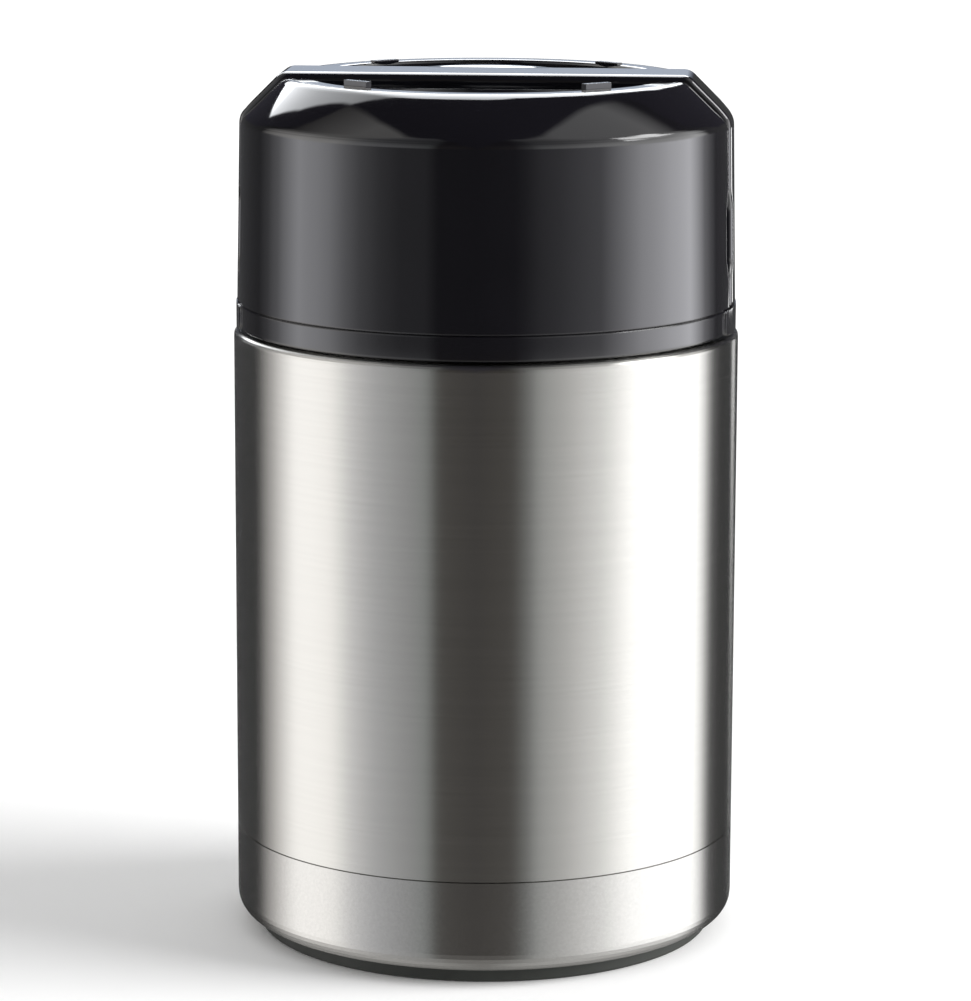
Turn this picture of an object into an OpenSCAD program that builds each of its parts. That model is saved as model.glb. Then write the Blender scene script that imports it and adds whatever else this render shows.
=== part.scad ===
// Insulated food jar: a double-walled steel body, a screw-in stopper with a
// vent button, and a deep screw-on lid with a carry handle that lies in a
// channel over its top and pulls straight up. Lengths in millimetres, +Z up,
// origin on the table under the middle of the jar. The handle spans X.

/* [Steel body] */
// Outside diameter of the body
body_d = 100; // [90:1:115]
// Height of the shoulder above the table
shoulder_z = 121.5; // [105:0.5:170]
// Rounding of the edge at the shoulder
shoulder_r = 1.2; // [0.6:0.1:1.6]
// Steel sheet thickness
steel_t = 0.8; // [0.6:0.1:1]
// Gap between the outer shell and the food liner
vacuum_gap = 3; // [2.2:0.2:5]
// Gap between the two walls of the neck
neck_gap = 0.8; // [0.6:0.1:1.5]
// Height of the neck above the shoulder
neck_h = 14; // [11:0.5:18]
// Rounding inside the bottom of the food liner
liner_r = 8; // [4:0.5:12]
// Rounding where the food liner runs into the neck
neck_bend_r = 2; // [1:0.5:3]
// Rounding of the drinking lip
lip_r = 0.5; // [0.2:0.1:0.7]

/* [Base] */
// Height of the seam between the outer shell and the base cup
seam_z = 21.4; // [17:0.2:30]
// Width of the open line at the seam
seam_gap = 0.25; // [0.15:0.05:0.5]
// Rounding of the base cup's lower edge
base_r = 4; // [2:0.5:5]
// Height of the foot ring under the base cup
foot_h = 2.8; // [1.5:0.1:4]
// Distance from the body's side to the foot ring
foot_inset = 4.5; // [4:0.1:7]
// Width of the foot ring
foot_w = 9; // [5:0.5:14]
// Rounding of the foot ring's lower edges
foot_edge_r = 0.8; // [0.4:0.1:1.2]
// Width of the flat ring between the foot ring and the pressed hollow
hollow_margin = 1.5; // [1:0.1:4]
// Depth of the pressed hollow in the middle of the base
base_hollow = 1.5; // [1:0.1:2.5]
// Gap between the base cup's rounding and the skirt of the outer shell
skirt_gap = 0.2; // [0.1:0.1:1]
// Height of the vacuum plate above the lower end of the skirt
plate_rise = 3; // [2:0.5:5]
// Radius of the sealing bead in the vacuum plate
bead_radius = 4; // [3:0.5:5]
// Depth of the pocket that holds the sealing bead
bead_h = 1.2; // [0.8:0.1:1.6]
// Wall of that pocket
bead_wall = 1; // [0.6:0.1:2]
// Radius of the pump hole in the vacuum plate
pump_radius = 0.6; // [0.4:0.1:1]
// Radius of the getter pellet
getter_radius = 4; // [3:0.5:5]
// Thickness of the getter pellet
getter_h = 1.5; // [1:0.1:2]
// Distance of the getter pellet from the middle
getter_x = 16; // [12:1:24]
// Room between the food liner and what lies on the vacuum plate
getter_gap = 1.5; // [1:0.1:3]

/* [Stopper] */
// Clearance between the stopper's plug and the mouth
plug_gap = 0.6; // [0.4:0.1:1]
// Depth of the plug below the mouth
plug_h = 16; // [12:0.5:22]
// Rounding of the plug's lower edge
plug_edge_r = 1.5; // [0.5:0.1:3]
// Wall of the stopper's mouldings
stopper_t = 1.8; // [1.4:0.1:2.2]
// Thickness of the mouth gasket
gasket_h = 1.8; // [1.2:0.1:2.5]
// Width of the mouth gasket
gasket_w = 2.6; // [2:0.1:3.2]
// Middle radius of the lobed grip on the stopper
grip_radius = 27; // [24:0.5:32]
// Height of the grip
grip_h = 5; // [3:0.5:7]
// Wall of the grip
grip_t = 4; // [3:0.5:6]
// Number of lobes round the grip
grip_lobes = 12; // [8:1:18]
// Height of each lobe
lobe_h = 0.8; // [0.4:0.1:1.2]

/* [Vent button] */
// Radius of the button
button_radius = 8; // [6:0.5:10]
// Wall and top thickness of the button
button_t = 1.4; // [1:0.1:1.8]
// Travel of the button
vent_travel = 2.5; // [1.5:0.1:3]
// How far the pressed button still stands above the stopper's cover
button_proud = 0.5; // [0.3:0.1:1.5]
// Length of the button's skirt that guides it in its well
guide_l = 6; // [4:0.5:8]
// Radius of the button's stem
stem_radius = 2; // [1.5:0.1:2.5]
// How far the head of the stem stands out under the valve disc
stem_head_w = 1; // [0.6:0.1:1.5]
// Thickness of the head of the stem
stem_head_h = 1; // [0.6:0.1:2]
// Clearance between the stem and the vent hole
vent_gap = 1.2; // [0.8:0.1:1.5]
// Thickness of the valve disc
valve_h = 1.8; // [1.2:0.1:2.4]
// How far the valve disc laps over the vent hole
valve_lap = 2; // [1.5:0.1:3]
// Wire radius of the vent spring
wire_radius = 0.45; // [0.35:0.05:0.6]
// Number of coils in the vent spring
coils = 6; // [4:1:8]

/* [Lid] */
// Height of the lid from its lower edge to its rim
lid_h = 49.3; // [46:0.1:60]
// Step from the body's side in to the lower end of the lid's side
lid_step = 0.9; // [0.4:0.1:1.2]
// How far the lid's side and the arms lean in over their height
lid_draft = 0.7; // [0:0.1:1.2]
// Gap between the shoulder and the lid
lid_gap = 0.5; // [0.4:0.1:1]
// Width and height of the bevel round the top
bevel = 8.3; // [7:0.1:10]
// Rounding of the bevel's two edges
bevel_r = 2.5; // [1:0.1:3]
// Wall of the lid shell
shell_t = 1.8; // [1.5:0.1:2.4]
// Wall of the lid liner
liner_t = 1.5; // [1.2:0.1:2]
// Rounding inside the closed end of the lid liner
bowl_r = 8; // [4:0.5:12]
// Gap between the lid liner and the top panel
bowl_gap = 1.4; // [1:0.1:3]
// Width of the shell's flat rim inside the bevel's rounding
rim_flat = 0.05; // [0.05:0.05:0.5]
// Height of the collar under the lid shell
collar_h = 5; // [4.6:0.1:6]
// Chamfer on each side of the line between collar and shell
line_w = 0.25; // [0.15:0.05:0.35]
// Height of the collar's spigot inside the shell
spigot_h = 3; // [2:0.1:4]
// Wall of the spigot
spigot_t = 1.4; // [1:0.1:1.8]
// Clearance between the spigot and the inside of the shell
spigot_fit = 0.1; // [0.05:0.05:0.3]
// Gap between the ends of the spigot and the walls of the handle's channel
spigot_gap = 1; // [0.5:0.1:3]
// Height of the screw thread's ridge
thread_h = 1; // [0.8:0.1:1.4]
// Clearance over the screw thread
thread_gap = 0.4; // [0.3:0.1:0.6]

/* [Top panel] */
// Depth of the finger recess in the top
recess_h = 7; // [5:0.5:8]
// Width of the flat rim round the recess
rim_w = 3.8; // [3:0.1:5]
// Wall of the top panel
panel_t = 1.6; // [1.2:0.1:2]
// Rounding of the recess's upper edge
recess_edge_r = 0.6; // [0.3:0.1:1.2]
// Rounding at the bottom of the recess
recess_floor_r = 1.2; // [0.6:0.1:2]
// Width of the open line round the top panel
panel_gap = 0.15; // [0.1:0.05:0.3]
// Length of each standing foot along the rim
pip_l = 6; // [4:0.2:8]
// Width of each standing foot across the rim
pip_w = 1.4; // [1:0.1:3.2]
// Height of the two front feet
pip_h = 1.3; // [0.8:0.1:2]
// Height of the two rear feet
rear_pip_h = 0.4; // [0.2:0.1:2]
// Angle of the standing feet from the line that crosses the handle
pip_angle = 39.5; // [35:0.5:55]

/* [Handle] */
// Width of the strap
strap_w = 16; // [12:0.5:20]
// Thickness of the strap over the top
strap_t = 3; // [2.4:0.1:3.6]
// Thickness of the arms at their lower ends
arm_t = 2.5; // [2.4:0.1:3.2]
// How far the strap stands above the lid's rim
strap_rise = 1; // [0.6:0.1:1.2]
// How far the arms' lower ends stay inside the body's side
arm_inset = 0.7; // [0.4:0.1:0.8]
// How much wider the strap's bevel is than the lid's
bevel_extra = 0.5; // [0:0.1:1]
// Rounding of the strap's corners on the outside
strap_r = 6; // [2:0.5:8]
// Width of the arms at the grip waist
waist_w = 11.6; // [9:0.2:14]
// Length of the straight part of the waist
waist_l = 10; // [6:0.5:14]
// Length of the run into and out of the waist
waist_run = 4; // [3:0.5:6]
// Height of the waist's middle above the lid's lower edge
waist_up = 19.5; // [18:0.5:24]
// Rounding of the waist's bends
waist_r = 2; // [1:0.5:3]
// Clearance at each edge of the strap in its channel
channel_gap = 1; // [0.5:0.1:1.5]
// Depth of the finger scoop beside the waist
scoop_w = 1.8; // [1:0.1:2.5]
// Length of the thumb tab along the strap
tab_l = 24; // [18:1:32]
// How far the thumb tab stands out from the strap
tab_w = 5.7; // [3:0.1:8]
// Thickness of the thumb tab
tab_t = 2; // [1.5:0.1:2.6]
// Width of the tongue that guides each arm
tongue_w = 6; // [5:0.2:7]
// Thickness of the tongue
tongue_t = 1.4; // [1.2:0.1:1.7]
// Travel of the handle
lift = 18; // [12:0.5:20]
// Height of the guide pins above the lid's lower edge
pin_up = 3; // [2.8:0.1:3.2]
// Radius of the guide pins
pin_radius = 1.2; // [1:0.1:1.4]
// Radius of the guide pins' heads
head_radius = 2.2; // [1.8:0.1:2.4]
// Thickness of the guide pins' heads
head_t = 0.8; // [0.6:0.1:1.2]
// Wall behind the handle's channel
backing_t = 1.3; // [1:0.1:1.8]
// Half width of the raised pad on the collar below each arm
pad_half_w = 13; // [11:0.5:16]
// How far that pad stands out from the collar
pad_h = 0.4; // [0.3:0.1:0.7]
// Rounding of that pad's corners
pad_r = 1.5; // [0.5:0.1:2]

/* [Hidden] */

body_gap = 0.3;                      // room between pieces that move apart
edge_r = 0.5;                        // rounding of small edges
weld = 0.2;                          // how far fused walls reach into each other
past = 1;                            // how far a cut reaches past a face
facets = 96;
far = 200;                           // longer than any piece

// Steel body, from the side inwards
body_r = body_d / 2;
tube_r = body_r - steel_t;
skirt_r = tube_r - steel_t;
liner_out_r = tube_r - vacuum_gap;
cavity_r = liner_out_r - steel_t;

// Side of the lid, from the arm inwards to the neck
arm_r = body_r - arm_inset;
arm_in = arm_r - arm_t;
channel_r = arm_in - body_gap;
backing_r = channel_r - backing_t;
head_in = backing_r - body_gap - head_t;
sleeve_r = head_in - body_gap;
lid_in_r = sleeve_r - liner_t;
neck_r = lid_in_r - thread_gap - thread_h;
neck_liner_r = neck_r - steel_t - neck_gap;
mouth_r = neck_liner_r - steel_t;

// Heights of the steel body
skirt_z = foot_h + base_r + skirt_gap;
plate_z = skirt_z + plate_rise;
liner_z = plate_z + steel_t + max(getter_h, bead_h) + getter_gap;
neck_root_z = shoulder_z - steel_t - vacuum_gap;
sheet_drop = steel_t * tan(22.5);    // step between the two faces of a sheet bent by 45 degrees
mouth_z = shoulder_z + neck_h;

// Heights of the stopper
plug_z = mouth_z - plug_h;
gasket_z = mouth_z + body_gap;
flange_z = gasket_z + gasket_h;
cover_z = flange_z + stopper_t;
cover_top = cover_z + stopper_t;
plug_r = mouth_r - plug_gap;
well_r = button_radius + body_gap;
button_top = cover_top + vent_travel + button_proud;
button_low = button_top - button_t;
vent_r = stem_radius + vent_gap;
valve_z = plug_z - body_gap - valve_h;
spring_r = (stem_radius + button_radius - button_t) / 2;

// Heights and radii of the lid
lid_z = shoulder_z + lid_gap;
collar_top = lid_z + collar_h;
rim_z = lid_z + lid_h;
lid_r = body_r - lid_step;
lid_top_r = lid_r - lid_draft;
shell_in_r = lid_r - shell_t;
shell_top_in_r = lid_top_r - shell_t;
bevel_z = rim_z - bevel;
corner_z = bevel_z - shell_t * (sqrt(2) - 1);   // inside of the corner below the bevel
rim_r = lid_top_r - bevel;
opening_r = rim_r - bevel_r * tan(22.5) - rim_flat;
panel_r = opening_r - panel_gap;
recess_r = panel_r - rim_w;
recess_z = rim_z - recess_h;
ledge_z = rim_z - panel_t;
bowl_top = recess_z - panel_t - bowl_gap;

// Handle
strap_z = rim_z + strap_rise;
under_z = strap_z - strap_t;
arm_bevel = bevel + bevel_extra;
arm_top_r = arm_r - lid_draft;
pin_z = lid_z + pin_up;
arm_z = collar_top + body_gap;
waist_z = lid_z + waist_up;
slot_r = pin_radius + body_gap;

// Points on the rounding of corner b between a and c, with radius r.
function unit(v) = v / norm(v);
function corner(a, b, c, r) =
    let (u = unit([a.x - b.x, a.y - b.y]), w = unit([c.x - b.x, c.y - b.y]))
    let (half = acos(u * w) / 2, reach = r / tan(half))
    let (mid = [b.x, b.y] + unit(u + w) * r / sin(half))
    let (p = [b.x, b.y] + u * reach - mid, q = [b.x, b.y] + w * reach - mid)
    let (from = atan2(p.y, p.x), turn = atan2(q.y, q.x) - from)
    let (sweep = turn > 180 ? turn - 360 : turn < -180 ? turn + 360 : turn)
    let (steps = 3 + floor(r))
    [for (i = [0:steps]) let (a = from + sweep * i / steps) mid + r * [cos(a), sin(a)]];

// Outline through points [x, y, rounding].
function outline(pts) = [for (i = [0:len(pts) - 1])
    let (b = pts[i], a = pts[(i + len(pts) - 1) % len(pts)], c = pts[(i + 1) % len(pts)])
    each b.z > 0 ? corner(a, b, c, b.z) : [[b.x, b.y]]];

module turned(pts) {
    rotate_extrude($fn = facets) polygon(outline(pts));
}

module ring(outer, inner, z, h) {
    translate([0, 0, z]) difference() {
        cylinder(r = outer, h = h, $fn = facets);
        translate([0, 0, -past]) cylinder(r = inner, h = h + 2 * past, $fn = facets);
    }
}

// A shape drawn in X and Z, carried along Y over width w.
module across(w) {
    translate([0, w / 2, 0]) rotate([90, 0, 0]) linear_extrude(w) children();
}

// A shape drawn in Y and Z, carried along X from x0 to x1.
module along(x0, x1) {
    translate([x0, 0, 0]) rotate([90, 0, 90]) linear_extrude(x1 - x0) children();
}

module both_sides() {
    children();
    mirror([1, 0, 0]) children();
}

// ---- Steel body

module outer_shell() {
    color("#b9b6b0") turned([
        [tube_r, skirt_z, 0], [tube_r, seam_z, 0], [body_r, seam_z, 0],
        [body_r, shoulder_z, shoulder_r], [neck_r, shoulder_z, 0], [neck_r, mouth_z - steel_t, 0],
        [neck_r - steel_t, mouth_z - steel_t, 0], [neck_r - steel_t, shoulder_z - steel_t, 0],
        [tube_r, shoulder_z - steel_t, shoulder_r / 2], [tube_r, seam_z + steel_t, 0],
        [skirt_r, seam_z + steel_t, 0], [skirt_r, skirt_z, 0]]);
}

module inner_liner() {
    color("#c6c4bf") turned([
        [0, liner_z, 0], [liner_out_r, liner_z, liner_r + steel_t],
        [liner_out_r, neck_root_z - liner_out_r + neck_liner_r, neck_bend_r],
        [neck_liner_r, neck_root_z, neck_bend_r], [neck_liner_r, mouth_z - steel_t, 0],
        [neck_r, mouth_z - steel_t, 0], [neck_r, mouth_z, lip_r], [mouth_r, mouth_z, lip_r],
        [mouth_r, neck_root_z - sheet_drop, neck_bend_r],
        [cavity_r, neck_root_z - sheet_drop - cavity_r + mouth_r, neck_bend_r],
        [cavity_r, liner_z + steel_t, liner_r], [0, liner_z + steel_t, 0]]);
}

module vacuum_plate() {
    boss_r = bead_radius + bead_wall;
    color("#a9a7a2") difference() {
        turned([
            [0, plate_z, 0], [skirt_r - steel_t, plate_z, 0], [skirt_r - steel_t, skirt_z, 0],
            [skirt_r, skirt_z, 0], [skirt_r, plate_z + steel_t, edge_r], [boss_r, plate_z + steel_t, 0],
            [boss_r, plate_z + steel_t + bead_h, edge_r], [0, plate_z + steel_t + bead_h, 0]]);
        translate([0, 0, plate_z - past]) cylinder(r = bead_radius, h = bead_h + past, $fn = facets);
        translate([0, 0, plate_z]) cylinder(r = pump_radius, h = far, $fn = 24);
    }
}

module sealing_bead() {
    color("#8f9092") translate([0, 0, plate_z]) cylinder(r = bead_radius, h = bead_h, $fn = facets);
}

module getter_pellet() {
    color("#55585c") translate([getter_x, 0, plate_z + steel_t])
        cylinder(r = getter_radius, h = getter_h, $fn = facets);
}

module base_cup() {
    hollow_r = body_r - foot_inset - foot_w - hollow_margin;
    slope_r = hollow_r - base_hollow;
    color("#c2bfb9") turned([
        [0, foot_h + base_hollow, 0], [slope_r, foot_h + base_hollow, 0], [hollow_r, foot_h, 0],
        [body_r, foot_h, base_r], [body_r, seam_z - seam_gap, 0], [tube_r, seam_z - seam_gap, 0],
        [tube_r, foot_h + steel_t, base_r - steel_t], [hollow_r - sheet_drop, foot_h + steel_t, 0],
        [slope_r - sheet_drop, foot_h + base_hollow + steel_t, 0], [0, foot_h + base_hollow + steel_t, 0]]);
}

module foot_ring() {
    foot_r = body_r - foot_inset;
    color("#26262a") turned([
        [foot_r - foot_w, 0, foot_edge_r], [foot_r, 0, foot_edge_r], [foot_r, foot_h, 0],
        [foot_r - foot_w, foot_h, 0]]);
}

// ---- Stopper

module stopper_body() {
    tube_out_r = well_r + stopper_t;
    color("#3a3b3f") difference() {
        turned([
            [0, plug_z, 0], [plug_r, plug_z, plug_edge_r], [plug_r, flange_z, 0], [neck_r, flange_z, 0],
            [neck_r, cover_z, 0], [plug_r - stopper_t, cover_z, 0],
            [plug_r - stopper_t, plug_z + stopper_t, 0], [tube_out_r, plug_z + stopper_t, 0],
            [tube_out_r, cover_z, 0], [well_r, cover_z, 0], [well_r, plug_z + stopper_t, 0],
            [0, plug_z + stopper_t, 0]]);
        translate([0, 0, plug_z - past]) cylinder(r = vent_r, h = stopper_t + 2 * past, $fn = facets);
    }
}

module stopper_foam() {
    color("#d9d3c0") ring(plug_r - stopper_t, well_r + stopper_t, plug_z + stopper_t,
                          cover_z - plug_z - stopper_t);
}

module stopper_cover() {
    lobe_points = 8;
    lobe_steps = grip_lobes * lobe_points;
    lobes = [for (i = [0:lobe_steps - 1]) let (a = i * 360 / lobe_steps)
        (grip_radius + lobe_h * cos(a * grip_lobes)) * [cos(a), sin(a)]];
    color("#2b2b2f") difference() {
        union() {
            turned([[0, cover_z, 0], [neck_r, cover_z, 0], [neck_r, cover_top, edge_r], [0, cover_top, 0]]);
            translate([0, 0, cover_z]) linear_extrude(grip_h + stopper_t) polygon(lobes);
        }
        translate([0, 0, cover_top]) cylinder(r = grip_radius - grip_t, h = far, $fn = facets);
        translate([0, 0, cover_z - past]) cylinder(r = well_r, h = far, $fn = facets);
    }
}

module mouth_gasket() {
    color("#dcdcd8") turned([
        [plug_r, gasket_z, 0], [plug_r + gasket_w, gasket_z, edge_r],
        [plug_r + gasket_w, flange_z, 0], [plug_r, flange_z, 0]]);
}

// ---- Vent

module vent_button() {
    guide_z = button_low - guide_l;
    color("#c9c9c6") union() {
        turned([
            [0, button_low, 0], [button_radius - button_t, button_low, 0],
            [button_radius - button_t, guide_z, 0], [button_radius, guide_z, 0],
            [button_radius, button_top, edge_r], [0, button_top, 0]]);
        translate([0, 0, valve_z])
            cylinder(r = stem_radius, h = button_low + button_t / 2 - valve_z, $fn = facets);
        translate([0, 0, valve_z - stem_head_h])
            cylinder(r = stem_radius + stem_head_w, h = stem_head_h, $fn = facets);
    }
}

module vent_valve() {
    color("#e4e3de") ring(vent_r + valve_lap, stem_radius, valve_z, valve_h);
}

// Wire carried round a helix: a ring of points at each step, joined by faces.
module vent_spring() {
    per_turn = 12;
    steps = coils * per_turn;
    sides = 6;
    low = plug_z + stopper_t + wire_radius;
    rise = button_low - wire_radius - low;
    wire = [for (i = [0:steps], j = [0:sides - 1])
        let (a = 360 * i / per_turn, b = 360 * j / sides, reach = spring_r + wire_radius * cos(b))
        [reach * cos(a), reach * sin(a), low + rise * i / steps + wire_radius * sin(b)]];
    skin = [for (i = [0:steps - 1], j = [0:sides - 1])
        let (k = (j + 1) % sides, lower = i * sides, upper = lower + sides)
        each [[lower + j, upper + j, upper + k], [lower + j, upper + k, lower + k]]];
    end_faces = [for (j = [1:sides - 2]) each
        [[0, j, j + 1], [steps * sides, steps * sides + j + 1, steps * sides + j]]];
    color("#9a9a9c") polyhedron(points = wire, faces = concat(skin, end_faces));
}

// ---- Lid

// The space inside the strap, drawn in X and Z, its faces moved in by gap.
module strap_core(gap) {
    side = arm_in - gap;
    top = under_z - gap;
    cut = arm_bevel - (arm_t - lid_draft + strap_t) * (1 - sqrt(0.5)) - gap * (2 - sqrt(2));
    round_in = max(strap_r - strap_t, 1);
    polygon(outline([
        [side, 0, 0], [side, top - cut, round_in], [side - cut, top, round_in],
        [cut - side, top, round_in], [-side, top - cut, round_in], [-side, 0, 0]]));
}

// Front view of an arm, drawn in Y and Z, its edges moved out by grow and its
// waist drawn in by waist.
module arm_front(low, grow, waist) {
    wide = strap_w / 2 + grow;
    thin = wide - waist;
    half_l = waist_l / 2;
    right = [
        [wide, low, 0], [wide, waist_z - half_l - waist_run, waist_r],
        [thin, waist_z - half_l, waist_r], [thin, waist_z + half_l, waist_r],
        [wide, waist_z + half_l + waist_run, waist_r], [wide, far, 0]];
    left = [for (i = [len(right) - 1:-1:0]) [-right[i].x, right[i].y, right[i].z]];
    polygon(outline(concat(right, left)));
}

module handle_channel() {
    difference() {
        along(-far / 2, far / 2) arm_front(collar_top - past, channel_gap, -scoop_w);
        across(far) strap_core(body_gap);
    }
}

// Walls behind the handle's channel, inside the lid shell.
module channel_backing() {
    difference() {
        intersection() {
            across(strap_w + 2 * (channel_gap + scoop_w + shell_t)) strap_core(body_gap);
            turned([
                [0, collar_top, 0], [shell_in_r + weld, collar_top, 0],
                [shell_top_in_r + weld, bevel_z, 0], [rim_r, rim_z - shell_t - weld, 0],
                [0, rim_z - shell_t - weld, 0]]);
        }
        across(far) strap_core(body_gap + backing_t);
    }
}

module lid_shell() {
    ledge_low = ledge_z - shell_t;
    color("#17161b") difference() {
        union() {
            turned([
                [shell_in_r, collar_top, 0], [lid_r - line_w, collar_top, 0],
                [lid_r, collar_top + line_w, 0], [lid_top_r, bevel_z, bevel_r], [rim_r, rim_z, bevel_r],
                [opening_r, rim_z, 0], [opening_r, ledge_z, 0], [recess_r + panel_t, ledge_z, 0],
                [recess_r + panel_t, ledge_low, 0],
                [shell_top_in_r - (ledge_low - corner_z), ledge_low, 0],
                [shell_top_in_r, corner_z, edge_r]]);
            channel_backing();
        }
        handle_channel();
        translate([0, 0, recess_z - panel_t]) cylinder(r = recess_r + panel_t, h = far, $fn = facets);
        both_sides() pin_slot(collar_top - past, pin_z + lift);
    }
}

// A slot through the channel's wall, round at its upper end.
module pin_slot(low, high) {
    translate([sleeve_r, -slot_r, low]) cube([arm_r - sleeve_r, 2 * slot_r, high - low]);
    translate([sleeve_r, 0, high]) rotate([0, 90, 0])
        cylinder(r = slot_r, h = arm_r - sleeve_r, $fn = 48);
}

module collar_pad() {
    intersection() {
        cylinder(r = lid_r + pad_h, h = far, $fn = facets);
        along(shell_in_r, body_r + past) polygon(outline([
            [-pad_half_w, lid_z, pad_r], [pad_half_w, lid_z, pad_r],
            [pad_half_w, collar_top, pad_r], [-pad_half_w, collar_top, pad_r]]));
    }
}

// Room in the collar for a tongue, its pin and the pin's inner head.
module collar_pocket() {
    half = tongue_w / 2 + body_gap;
    head_half = head_radius + body_gap;
    tongue_low = pin_z - head_radius - body_gap;
    translate([channel_r, -half, tongue_low])
        cube([tongue_t + 2 * body_gap, 2 * half, far]);
    translate([sleeve_r - past, -head_half, pin_z - head_half])
        cube([backing_r - sleeve_r + past, 2 * head_half, far]);
    translate([sleeve_r, 0, pin_z]) rotate([0, 90, 0])
        cylinder(r = slot_r, h = channel_r - sleeve_r + past, $fn = 48);
    translate([sleeve_r, -slot_r, pin_z])
        cube([channel_r - sleeve_r + past, 2 * slot_r, far]);
}

module lid_collar() {
    spigot_half_w = strap_w / 2 + channel_gap + scoop_w + shell_t + spigot_gap;
    spigot_r = shell_in_r - spigot_fit;
    spigot_in_r = spigot_r - spigot_t;
    lean = lid_draft * spigot_h / (corner_z - collar_top);
    color("#1b1a1f") difference() {
        union() {
            turned([
                [sleeve_r, lid_z, 0], [lid_r, lid_z, edge_r], [lid_r, collar_top - line_w, 0],
                [lid_r - line_w, collar_top, 0], [spigot_r, collar_top, 0],
                [spigot_r - lean, collar_top + spigot_h, edge_r],
                [spigot_in_r, collar_top + spigot_h, 0], [spigot_in_r, collar_top, 0],
                [sleeve_r, collar_top, 0]]);
            both_sides() collar_pad();
        }
        both_sides() collar_pocket();
        both_sides() translate([lid_in_r, -spigot_half_w, collar_top])
            cube([far, 2 * spigot_half_w, far]);
    }
}

module lid_liner() {
    color("#202024") turned([
        [lid_in_r, lid_z, edge_r], [sleeve_r, lid_z, edge_r], [sleeve_r, bowl_top, bowl_r + liner_t],
        [0, bowl_top, 0], [0, bowl_top - liner_t, 0], [lid_in_r, bowl_top - liner_t, bowl_r]]);
}

module standing_foot(angle, h) {
    rotate([0, 0, angle]) translate([recess_r, -pip_l / 2, rim_z - recess_edge_r - weld])
        cube([pip_w, pip_l, h + recess_edge_r + weld]);
}

module standing_feet() {
    for (side = [-pip_angle, pip_angle]) {
        standing_foot(270 + side, pip_h);
        standing_foot(90 + side, rear_pip_h);
    }
}

module top_panel() {
    color("#1d1c22") difference() {
        union() {
            turned([
                [0, recess_z - panel_t, 0],
                [recess_r + panel_t, recess_z - panel_t, recess_floor_r + panel_t],
                [recess_r + panel_t, ledge_z, 0], [panel_r, ledge_z, 0], [panel_r, rim_z, panel_gap],
                [recess_r, rim_z, recess_edge_r], [recess_r, recess_z, recess_floor_r],
                [0, recess_z, 0]]);
            standing_feet();
        }
        handle_channel();
    }
}

// ---- Handle

module strap() {
    top = strap_z;
    cut = arm_bevel;
    difference() {
        across(strap_w) polygon(outline([
            [arm_r, arm_z, 0], [arm_top_r, top - cut, strap_r], [arm_top_r - cut, top, strap_r],
            [cut - arm_top_r, top, strap_r], [-arm_top_r, top - cut, strap_r], [-arm_r, arm_z, 0]]));
        across(strap_w + 2 * past) strap_core(0);
    }
}

module thumb_tab() {
    tab_r = (pow(tab_l / 2, 2) + tab_w * tab_w) / (2 * tab_w);
    intersection() {
        translate([0, strap_w / 2 + tab_w - tab_r, strap_z - tab_t])
            cylinder(r = tab_r, h = tab_t, $fn = facets);
        translate([-tab_l / 2, 0, strap_z - tab_t])
            cube([tab_l, strap_w / 2 + tab_w, tab_t]);
    }
}

module tongue() {
    low = pin_z - head_radius;
    translate([arm_in, -tongue_w / 2, low]) cube([tongue_t, tongue_w, arm_z - low + past]);
}

module handle() {
    color("#1a1a1f") difference() {
        union() {
            intersection() {
                strap();
                along(-far / 2, far / 2) arm_front(arm_z, 0, (strap_w - waist_w) / 2);
                turned([
                    [0, arm_z, 0], [arm_r, arm_z, 0], [arm_top_r, strap_z - arm_bevel, 0],
                    [arm_top_r, strap_z + past, 0], [0, strap_z + past, 0]]);
            }
            thumb_tab();
            both_sides() tongue();
        }
        both_sides() translate([arm_in - past, 0, pin_z]) rotate([0, 90, 0])
            cylinder(r = pin_radius, h = tongue_t + 2 * past, $fn = 48);
    }
}

module guide_pin() {
    color("#8c8d90") translate([0, 0, pin_z]) rotate([0, 90, 0]) union() {
        translate([0, 0, head_in]) cylinder(r = head_radius, h = head_t, $fn = 48);
        translate([0, 0, head_in]) cylinder(r = pin_radius, h = arm_in + tongue_t - head_in, $fn = 48);
    }
}

module guide_pin_left() {
    mirror([1, 0, 0]) guide_pin();
}

module guide_pin_right() {
    guide_pin();
}

outer_shell();
inner_liner();
vacuum_plate();
sealing_bead();
getter_pellet();
base_cup();
foot_ring();
stopper_body();
stopper_cover();
stopper_foam();
mouth_gasket();
vent_button();
vent_valve();
vent_spring();
lid_shell();
lid_collar();
lid_liner();
top_panel();
handle();
guide_pin_left();
guide_pin_right();
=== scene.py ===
# Insulated food jar: brushed steel body, gloss black lid with a carry handle that lies in a channel.
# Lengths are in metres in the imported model's own frame, +Z up, the photographed side faces -Y.
# Shapes are worked out in millimetres and turned to metres when their mesh is made.
import math

import bmesh
import bpy
import numpy as np
from mathutils import Matrix, Vector


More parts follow.
